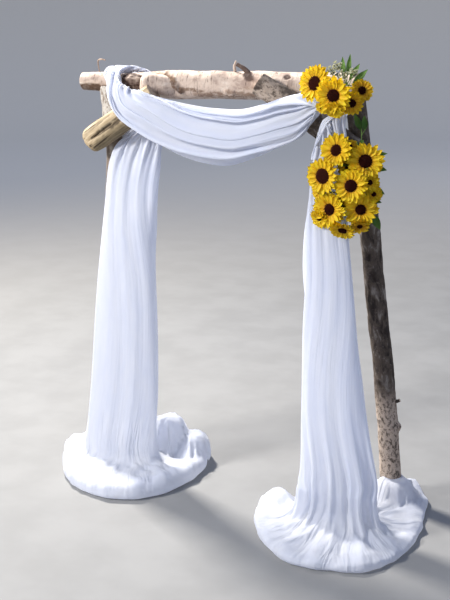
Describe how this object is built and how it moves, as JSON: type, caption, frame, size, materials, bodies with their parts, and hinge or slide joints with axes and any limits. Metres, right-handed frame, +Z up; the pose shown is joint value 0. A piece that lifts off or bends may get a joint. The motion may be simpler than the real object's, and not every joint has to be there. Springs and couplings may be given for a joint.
{
  "type": "wedding arch",
  "caption": "Rustic wedding arch of natural log posts and a forked log crossbar with short diagonal braces, draped with sheer white cloth and trimmed with sunflower sprays at one corner.",
  "frame": {"origin": "centre of the right post's foot, on the ground", "axes": "+Z up; +X from the left post to the right post, in the plane of the frame; the front, with the swag and the flowers, faces -Y"},
  "size_m": [1.9734, 1.1698, 2.1341],
  "materials": {
    "bark_dark": "rough mottled bark",
    "bark_pale": "smooth pale bark with dark streaks",
    "split_wood": "weathered split log with a drying crack",
    "sheer_cloth": "white sheer chiffon",
    "stem_green": "satin green",
    "petal_yellow": "golden petals around a dark disc",
    "leaf_green": "matt green",
    "blossom_cream": "matt cream",
    "wire_green": "coated floral wire"
  },
  "bodies": {
    "root": {"left_post": "bark_dark", "right_post": "bark_dark", "crossbar": "bark_pale", "left_brace": "split_wood", "right_brace": "bark_dark", "drape_left_puddle": "sheer_cloth", "drape_left_fall": "sheer_cloth", "drape_left_wrap": "sheer_cloth", "drape_swag": "sheer_cloth", "drape_corner_gather": "sheer_cloth", "drape_right_fall": "sheer_cloth", "drape_right_puddle": "sheer_cloth", "corner_stem_bundle": "stem_green", "post_stem_bundle": "stem_green", "corner_leaves": "leaf_green", "post_leaves": "leaf_green", "corner_filler": "blossom_cream", "corner_tie": "wire_green", "post_tie_upper": "wire_green", "post_tie_lower": "wire_green", "corner_sunflower_1": "petal_yellow", "corner_sunflower_2": "petal_yellow", "corner_sunflower_3": "petal_yellow", "corner_sunflower_4": "petal_yellow", "post_sunflower_1": "petal_yellow", "post_sunflower_2": "petal_yellow", "post_sunflower_3": "petal_yellow", "post_sunflower_4": "petal_yellow", "post_sunflower_5": "petal_yellow", "post_sunflower_6": "petal_yellow", "post_sunflower_7": "petal_yellow"}
  },
  "joints": []
}
